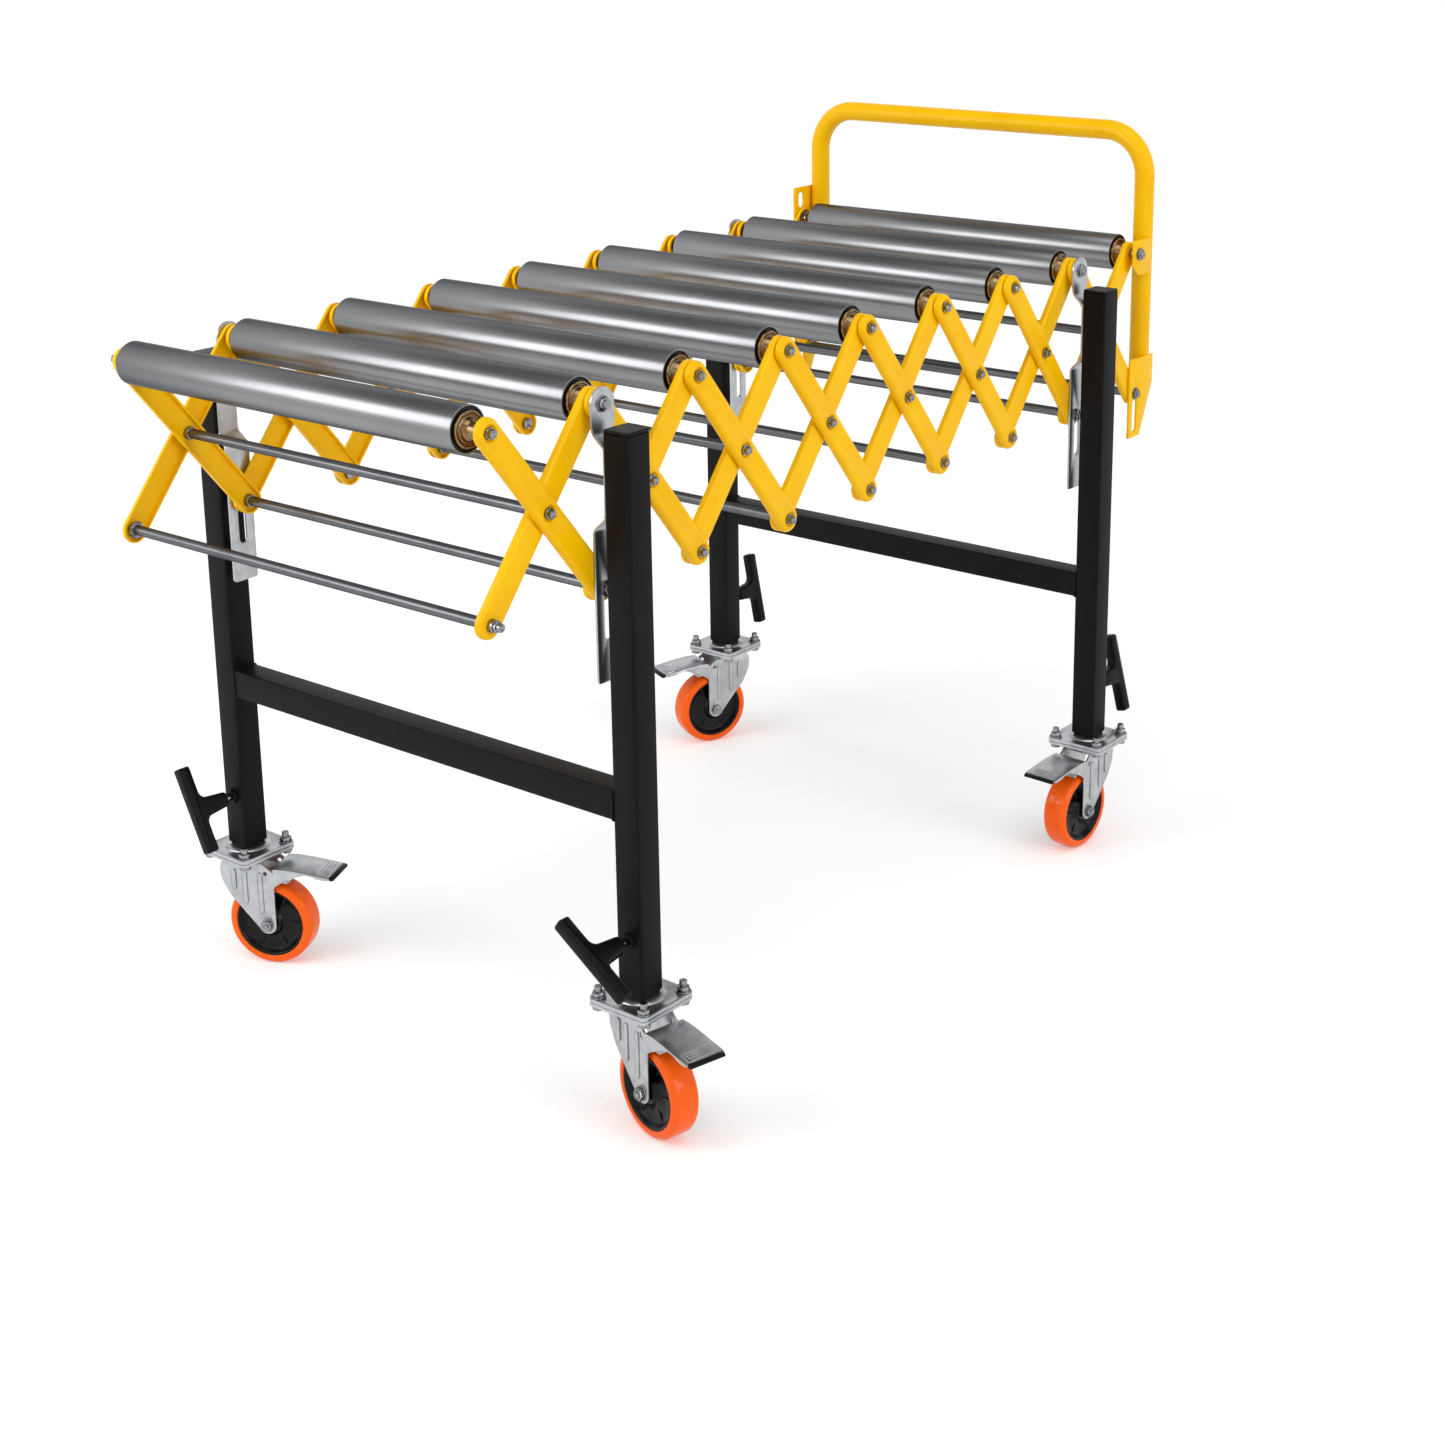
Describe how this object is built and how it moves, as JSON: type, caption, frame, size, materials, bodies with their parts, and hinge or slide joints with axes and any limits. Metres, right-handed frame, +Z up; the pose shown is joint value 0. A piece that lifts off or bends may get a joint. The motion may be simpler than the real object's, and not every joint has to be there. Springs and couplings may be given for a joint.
{
  "type": "roller stand",
  "caption": "Expandable roller stand: free rollers on a yellow scissor frame, height-adjustable black legs, braked swivel castors and a push handle.",
  "frame": {"origin": "middle of the base of the whole stand's box, on the floor under the wheels", "axes": "+Z up, rollers along X, the frame opens along +Y from the first roller to the push handle"},
  "size_m": [0.8604, 1.3534, 0.9955],
  "materials": {
    "yellow_paint": "glossy yellow powder coat on steel",
    "black_paint": "satin black powder coat on square steel tube",
    "zinc_plate": "bright zinc plate on stamped steel",
    "roller_steel": "smooth bare steel tube",
    "black_plastic": "moulded black plastic",
    "orange_polyurethane": "glossy orange polyurethane tread on a black core"
  },
  "bodies": {
    "front_legs": {"leg_frame_front": "black_paint", "leg_bracket_front_right": "zinc_plate", "leg_bracket_front_left": "zinc_plate", "leg_cap_front_right": "black_plastic", "leg_cap_front_left": "black_plastic"},
    "rear_legs": {"leg_frame_rear": "black_paint", "leg_bracket_rear_right": "zinc_plate", "leg_bracket_rear_left": "zinc_plate", "leg_cap_rear_right": "black_plastic", "leg_cap_rear_left": "black_plastic"},
    "arms_a1": {"arm_pair_a1": "yellow_paint"},
    "arms_b1": {"arm_pair_b1": "yellow_paint"},
    "arms_a2": {"arm_pair_a2": "yellow_paint"},
    "arms_b2": {"arm_pair_b2": "yellow_paint"},
    "arms_a3": {"arm_pair_a3": "yellow_paint"},
    "arms_b3": {"arm_pair_b3": "yellow_paint"},
    "arms_a4": {"arm_pair_a4": "yellow_paint"},
    "arms_b4": {"arm_pair_b4": "yellow_paint"},
    "arms_a5": {"arm_pair_a5": "yellow_paint"},
    "arms_b5": {"arm_pair_b5": "yellow_paint"},
    "arms_a6": {"arm_pair_a6": "yellow_paint"},
    "arms_b6": {"arm_pair_b6": "yellow_paint"},
    "arms_a7": {"arm_pair_a7": "yellow_paint"},
    "arms_b7": {"arm_pair_b7": "yellow_paint"},
    "arms_a8": {"arm_pair_a8": "yellow_paint"},
    "arms_b8": {"arm_pair_b8": "yellow_paint"},
    "roller_1": {"roller_1": "roller_steel"},
    "roller_2": {"roller_2": "roller_steel"},
    "roller_3": {"roller_3": "roller_steel"},
    "roller_4": {"roller_4": "roller_steel"},
    "roller_5": {"roller_5": "roller_steel"},
    "roller_6": {"roller_6": "roller_steel"},
    "roller_7": {"roller_7": "roller_steel"},
    "roller_8": {"roller_8": "roller_steel"},
    "roller_9": {"roller_9": "roller_steel"},
    "push_handle": {"push_handle": "yellow_paint"},
    "inner_leg_front_right": {"inner_leg_front_right": "black_paint", "castor_plate_front_right": "zinc_plate"},
    "hand_screw_front_right": {"hand_screw_front_right": "black_plastic"},
    "castor_fork_front_right": {"castor_fork_front_right": "zinc_plate"},
    "castor_wheel_front_right": {"castor_wheel_front_right": "orange_polyurethane"},
    "brake_pedal_front_right": {"brake_pedal_front_right": "zinc_plate"},
    "inner_leg_front_left": {"inner_leg_front_left": "black_paint", "castor_plate_front_left": "zinc_plate"},
    "hand_screw_front_left": {"hand_screw_front_left": "black_plastic"},
    "castor_fork_front_left": {"castor_fork_front_left": "zinc_plate"},
    "castor_wheel_front_left": {"castor_wheel_front_left": "orange_polyurethane"},
    "brake_pedal_front_left": {"brake_pedal_front_left": "zinc_plate"},
    "inner_leg_rear_right": {"inner_leg_rear_right": "black_paint", "castor_plate_rear_right": "zinc_plate"},
    "hand_screw_rear_right": {"hand_screw_rear_right": "black_plastic"},
    "castor_fork_rear_right": {"castor_fork_rear_right": "zinc_plate"},
    "castor_wheel_rear_right": {"castor_wheel_rear_right": "orange_polyurethane"},
    "brake_pedal_rear_right": {"brake_pedal_rear_right": "zinc_plate"},
    "inner_leg_rear_left": {"inner_leg_rear_left": "black_paint", "castor_plate_rear_left": "zinc_plate"},
    "hand_screw_rear_left": {"hand_screw_rear_left": "black_plastic"},
    "castor_fork_rear_left": {"castor_fork_rear_left": "zinc_plate"},
    "castor_wheel_rear_left": {"castor_wheel_rear_left": "orange_polyurethane"},
    "brake_pedal_rear_left": {"brake_pedal_rear_left": "zinc_plate"}
  },
  "joints": [
    {"name": "scissor_fold", "type": "hinge", "parent": "front_legs", "child": "arms_a2", "pos_m": [-0.02728, -0.49231, 0.81625], "axis": [-1, 0, 0], "range_deg": [0, 26.4]},
    {"name": "crossing_2", "type": "hinge", "parent": "arms_a2", "child": "arms_b2", "pos_m": [-0.02728, -0.41231, 0.71625], "axis": [-1, 0, 0], "range_deg": [-52.8, 0]},
    {"name": "top_pivot_3", "type": "hinge", "parent": "arms_b2", "child": "arms_a3", "pos_m": [-0.02728, -0.33231, 0.81625], "axis": [-1, 0, 0], "range_deg": [0, 52.8]},
    {"name": "crossing_3", "type": "hinge", "parent": "arms_a3", "child": "arms_b3", "pos_m": [-0.02728, -0.25231, 0.71625], "axis": [-1, 0, 0], "range_deg": [-52.8, 0]},
    {"name": "top_pivot_4", "type": "hinge", "parent": "arms_b3", "child": "arms_a4", "pos_m": [-0.02728, -0.17231, 0.81625], "axis": [-1, 0, 0], "range_deg": [0, 52.8]},
    {"name": "crossing_4", "type": "hinge", "parent": "arms_a4", "child": "arms_b4", "pos_m": [-0.02728, -0.09231, 0.71625], "axis": [-1, 0, 0], "range_deg": [-52.8, 0]},
    {"name": "top_pivot_5", "type": "hinge", "parent": "arms_b4", "child": "arms_a5", "pos_m": [-0.02728, -0.01231, 0.81625], "axis": [-1, 0, 0], "range_deg": [0, 52.8]},
    {"name": "crossing_5", "type": "hinge", "parent": "arms_a5", "child": "arms_b5", "pos_m": [-0.02728, 0.06769, 0.71625], "axis": [-1, 0, 0], "range_deg": [-52.8, 0]},
    {"name": "top_pivot_6", "type": "hinge", "parent": "arms_b5", "child": "arms_a6", "pos_m": [-0.02728, 0.14769, 0.81625], "axis": [-1, 0, 0], "range_deg": [0, 52.8]},
    {"name": "crossing_6", "type": "hinge", "parent": "arms_a6", "child": "arms_b6", "pos_m": [-0.02728, 0.22769, 0.71625], "axis": [-1, 0, 0], "range_deg": [-52.8, 0]},
    {"name": "top_pivot_7", "type": "hinge", "parent": "arms_b6", "child": "arms_a7", "pos_m": [-0.02728, 0.30769, 0.81625], "axis": [-1, 0, 0], "range_deg": [0, 52.8]},
    {"name": "crossing_7", "type": "hinge", "parent": "arms_a7", "child": "arms_b7", "pos_m": [-0.02728, 0.38769, 0.71625], "axis": [-1, 0, 0], "range_deg": [-52.8, 0]},
    {"name": "top_pivot_8", "type": "hinge", "parent": "arms_b7", "child": "arms_a8", "pos_m": [-0.02728, 0.46769, 0.81625], "axis": [-1, 0, 0], "range_deg": [0, 52.8]},
    {"name": "crossing_8", "type": "hinge", "parent": "arms_a8", "child": "arms_b8", "pos_m": [-0.02728, 0.54769, 0.71625], "axis": [-1, 0, 0], "range_deg": [-52.8, 0]},
    {"name": "top_pivot_2", "type": "hinge", "parent": "front_legs", "child": "arms_b1", "pos_m": [-0.02728, -0.49231, 0.81625], "axis": [-1, 0, 0], "range_deg": [-26.4, 0]},
    {"name": "crossing_1", "type": "hinge", "parent": "arms_b1", "child": "arms_a1", "pos_m": [-0.02728, -0.57231, 0.71625], "axis": [-1, 0, 0], "range_deg": [0, 52.8]},
    {"name": "handle_pivot", "type": "hinge", "parent": "arms_b8", "child": "push_handle", "pos_m": [-0.02728, 0.62769, 0.81625], "axis": [-1, 0, 0], "range_deg": [0, 26.4]},
    {"name": "rear_leg_pivot", "type": "hinge", "parent": "arms_b7", "child": "rear_legs", "pos_m": [-0.02728, 0.46769, 0.81625], "axis": [-1, 0, 0], "range_deg": [0, 26.4]},
    {"name": "roller_spin_1", "type": "hinge", "parent": "arms_a1", "child": "roller_1", "pos_m": [-0.02728, -0.65231, 0.81625], "axis": [1, 0, 0], "continuous": true},
    {"name": "roller_spin_2", "type": "hinge", "parent": "arms_a2", "child": "roller_2", "pos_m": [-0.02728, -0.49231, 0.81625], "axis": [1, 0, 0], "continuous": true},
    {"name": "roller_spin_3", "type": "hinge", "parent": "arms_a3", "child": "roller_3", "pos_m": [-0.02728, -0.33231, 0.81625], "axis": [1, 0, 0], "continuous": true},
    {"name": "roller_spin_4", "type": "hinge", "parent": "arms_a4", "child": "roller_4", "pos_m": [-0.02728, -0.17231, 0.81625], "axis": [1, 0, 0], "continuous": true},
    {"name": "roller_spin_5", "type": "hinge", "parent": "arms_a5", "child": "roller_5", "pos_m": [-0.02728, -0.01231, 0.81625], "axis": [1, 0, 0], "continuous": true},
    {"name": "roller_spin_6", "type": "hinge", "parent": "arms_b5", "child": "roller_6", "pos_m": [-0.02728, 0.14769, 0.81625], "axis": [1, 0, 0], "continuous": true},
    {"name": "roller_spin_7", "type": "hinge", "parent": "arms_a7", "child": "roller_7", "pos_m": [-0.02728, 0.30769, 0.81625], "axis": [1, 0, 0], "continuous": true},
    {"name": "roller_spin_8", "type": "hinge", "parent": "arms_b7", "child": "roller_8", "pos_m": [-0.02728, 0.46769, 0.81625], "axis": [1, 0, 0], "continuous": true},
    {"name": "roller_spin_9", "type": "hinge", "parent": "arms_b8", "child": "roller_9", "pos_m": [-0.02728, 0.62769, 0.81625], "axis": [1, 0, 0], "continuous": true},
    {"name": "leg_slide_front_right", "type": "slide", "parent": "front_legs", "child": "inner_leg_front_right", "axis": [0, 0, -1], "range_m": [0, 0.22]},
    {"name": "screw_turn_front_right", "type": "hinge", "parent": "front_legs", "child": "hand_screw_front_right", "pos_m": [0.30372, -0.49231, 0.22625], "axis": [0, -1, 0], "range_deg": [0, 360]},
    {"name": "castor_swivel_front_right", "type": "hinge", "parent": "inner_leg_front_right", "child": "castor_fork_front_right", "pos_m": [0.30372, -0.49231, 0.14595], "axis": [0, 0, 1], "continuous": true},
    {"name": "wheel_roll_front_right", "type": "hinge", "parent": "castor_fork_front_right", "child": "castor_wheel_front_right", "pos_m": [0.33283, -0.49957, 0.05515], "axis": [0.2419, 0.9703, 0], "continuous": true},
    {"name": "brake_front_right", "type": "hinge", "parent": "castor_fork_front_right", "child": "brake_pedal_front_right", "pos_m": [0.35223, -0.50441, 0.12195], "axis": [0.2419, 0.9703, 0], "range_deg": [0, 15]},
    {"name": "leg_slide_front_left", "type": "slide", "parent": "front_legs", "child": "inner_leg_front_left", "axis": [0, 0, -1], "range_m": [0, 0.22]},
    {"name": "screw_turn_front_left", "type": "hinge", "parent": "front_legs", "child": "hand_screw_front_left", "pos_m": [-0.35828, -0.49231, 0.22625], "axis": [0, -1, 0], "range_deg": [0, 360]},
    {"name": "castor_swivel_front_left", "type": "hinge", "parent": "inner_leg_front_left", "child": "castor_fork_front_left", "pos_m": [-0.35828, -0.49231, 0.14595], "axis": [0, 0, 1], "continuous": true},
    {"name": "wheel_roll_front_left", "type": "hinge", "parent": "castor_fork_front_left", "child": "castor_wheel_front_left", "pos_m": [-0.33109, -0.47963, 0.05515], "axis": [-0.4226, 0.9063, 0], "continuous": true},
    {"name": "brake_front_left", "type": "hinge", "parent": "castor_fork_front_left", "child": "brake_pedal_front_left", "pos_m": [-0.31297, -0.47118, 0.12195], "axis": [-0.4226, 0.9063, 0], "range_deg": [0, 15]},
    {"name": "leg_slide_rear_right", "type": "slide", "parent": "rear_legs", "child": "inner_leg_rear_right", "axis": [0, 0, -1], "range_m": [0, 0.22]},
    {"name": "screw_turn_rear_right", "type": "hinge", "parent": "rear_legs", "child": "hand_screw_rear_right", "pos_m": [0.30372, 0.46769, 0.22625], "axis": [0, 1, 0], "range_deg": [0, 360]},
    {"name": "castor_swivel_rear_right", "type": "hinge", "parent": "inner_leg_rear_right", "child": "castor_fork_rear_right", "pos_m": [0.30372, 0.46769, 0.14595], "axis": [0, 0, 1], "continuous": true},
    {"name": "wheel_roll_rear_right", "type": "hinge", "parent": "castor_fork_rear_right", "child": "castor_wheel_rear_right", "pos_m": [0.30215, 0.43773, 0.05515], "axis": [0.9986, -0.0523, 0], "continuous": true},
    {"name": "brake_rear_right", "type": "hinge", "parent": "castor_fork_rear_right", "child": "brake_pedal_rear_right", "pos_m": [0.3011, 0.41775, 0.12195], "axis": [0.9986, -0.0523, 0], "range_deg": [0, 15]},
    {"name": "leg_slide_rear_left", "type": "slide", "parent": "rear_legs", "child": "inner_leg_rear_left", "axis": [0, 0, -1], "range_m": [0, 0.22]},
    {"name": "screw_turn_rear_left", "type": "hinge", "parent": "rear_legs", "child": "hand_screw_rear_left", "pos_m": [-0.35828, 0.46769, 0.22625], "axis": [0, 1, 0], "range_deg": [0, 360]},
    {"name": "castor_swivel_rear_left", "type": "hinge", "parent": "inner_leg_rear_left", "child": "castor_fork_rear_left", "pos_m": [-0.35828, 0.46769, 0.14595], "axis": [0, 0, 1], "continuous": true},
    {"name": "wheel_roll_rear_left", "type": "hinge", "parent": "castor_fork_rear_left", "child": "castor_wheel_rear_left", "pos_m": [-0.37, 0.44007, 0.05515], "axis": [0.9205, -0.3907, 0], "continuous": true},
    {"name": "brake_rear_left", "type": "hinge", "parent": "castor_fork_rear_left", "child": "brake_pedal_rear_left", "pos_m": [-0.37782, 0.42166, 0.12195], "axis": [0.9205, -0.3907, 0], "range_deg": [0, 15]}
  ],
  "couplings": [
    {"joint": "crossing_2", "follows": "scissor_fold", "ratio": -2},
    {"joint": "top_pivot_3", "follows": "scissor_fold", "ratio": 2},
    {"joint": "crossing_3", "follows": "scissor_fold", "ratio": -2},
    {"joint": "top_pivot_4", "follows": "scissor_fold", "ratio": 2},
    {"joint": "crossing_4", "follows": "scissor_fold", "ratio": -2},
    {"joint": "top_pivot_5", "follows": "scissor_fold", "ratio": 2},
    {"joint": "crossing_5", "follows": "scissor_fold", "ratio": -2},
    {"joint": "top_pivot_6", "follows": "scissor_fold", "ratio": 2},
    {"joint": "crossing_6", "follows": "scissor_fold", "ratio": -2},
    {"joint": "top_pivot_7", "follows": "scissor_fold", "ratio": 2},
    {"joint": "crossing_7", "follows": "scissor_fold", "ratio": -2},
    {"joint": "top_pivot_8", "follows": "scissor_fold", "ratio": 2},
    {"joint": "crossing_8", "follows": "scissor_fold", "ratio": -2},
    {"joint": "top_pivot_2", "follows": "scissor_fold", "ratio": -1},
    {"joint": "crossing_1", "follows": "scissor_fold", "ratio": 2},
    {"joint": "handle_pivot", "follows": "scissor_fold", "ratio": 1},
    {"joint": "rear_leg_pivot", "follows": "scissor_fold", "ratio": 1}
  ]
}
